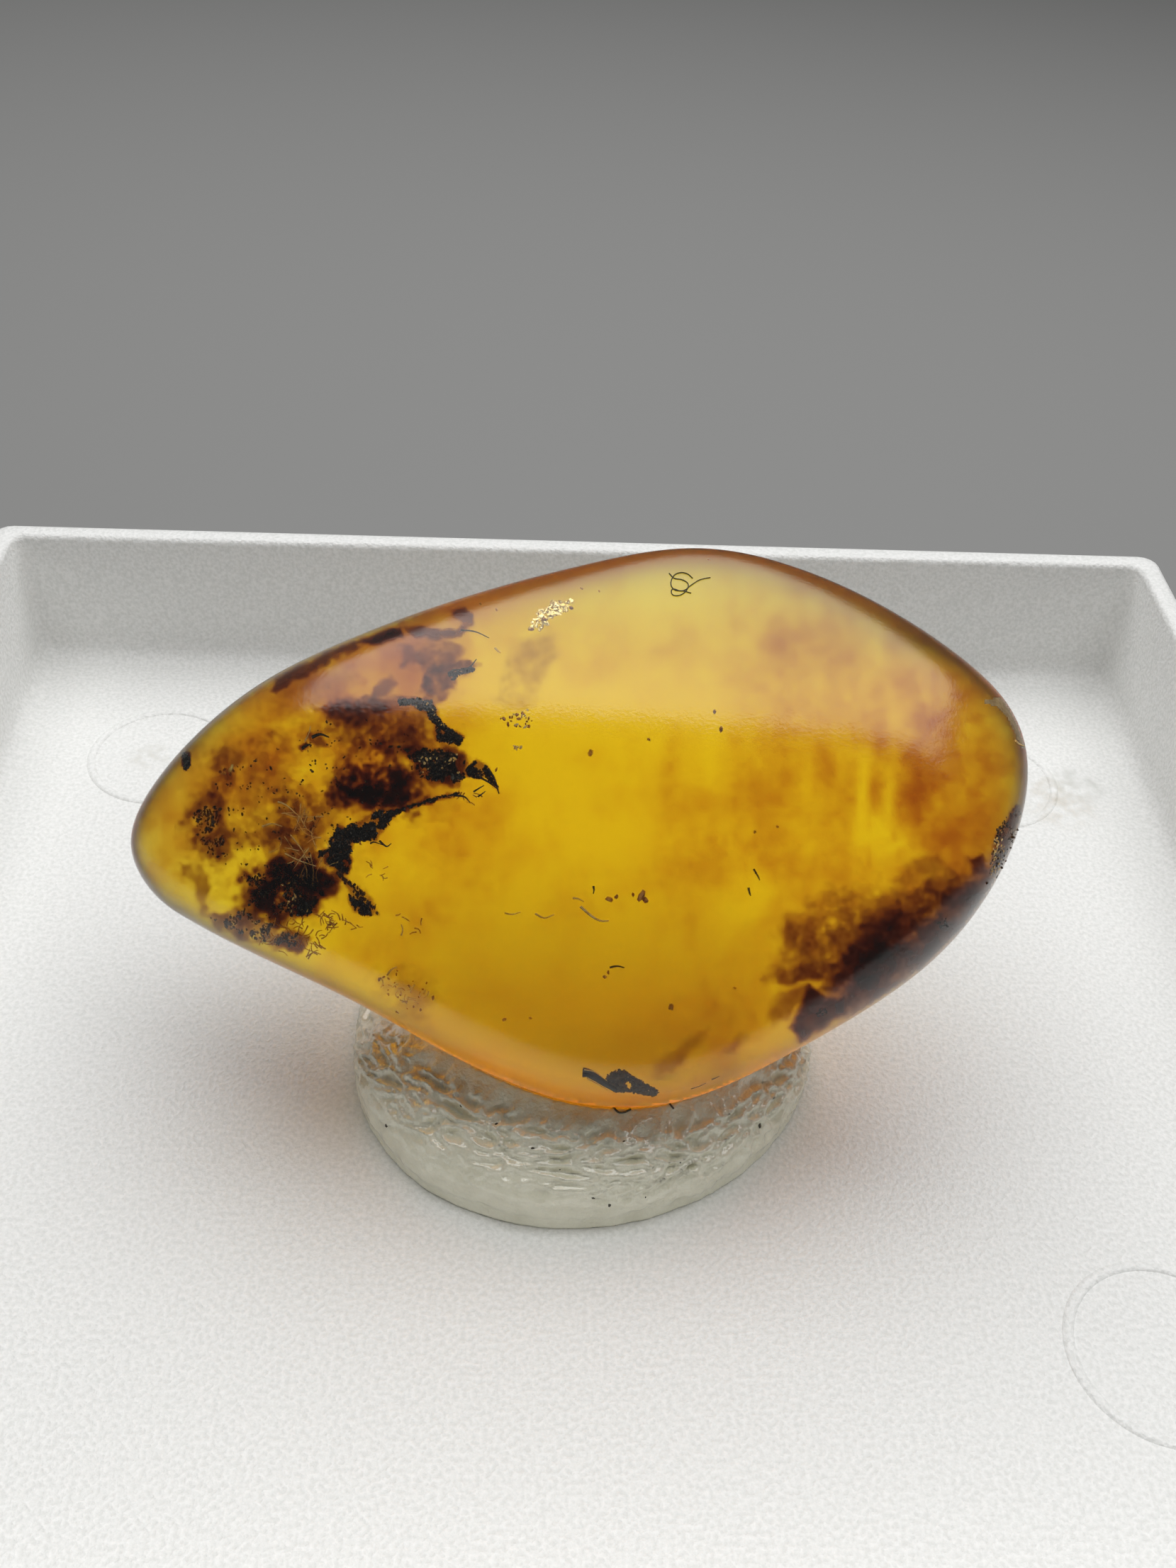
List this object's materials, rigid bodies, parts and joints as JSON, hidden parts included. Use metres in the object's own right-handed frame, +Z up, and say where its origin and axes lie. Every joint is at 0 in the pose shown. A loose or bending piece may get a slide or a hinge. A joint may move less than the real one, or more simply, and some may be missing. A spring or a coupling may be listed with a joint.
{
  "type": "amber specimen",
  "caption": "Polished see-through amber nugget with dark inclusions, leaning on a blob of mounting putty in a shallow open white specimen box that stands on its flat underside.",
  "frame": {"origin": "middle of the box's flat underside", "axes": "+Z up; +X along the nugget's length and the box's longer side; -Y to the side that the nugget's best face looks to"},
  "size_m": [0.0424, 0.0372, 0.0142],
  "materials": {
    "amber": null,
    "putty": "matte kneaded putty, wrinkled where it was pressed",
    "box": "fine-grained moulded white plastic"
  },
  "bodies": {
    "root": {"amber_nugget": "amber", "mounting_putty": "putty", "specimen_box": "box"}
  },
  "joints": []
}
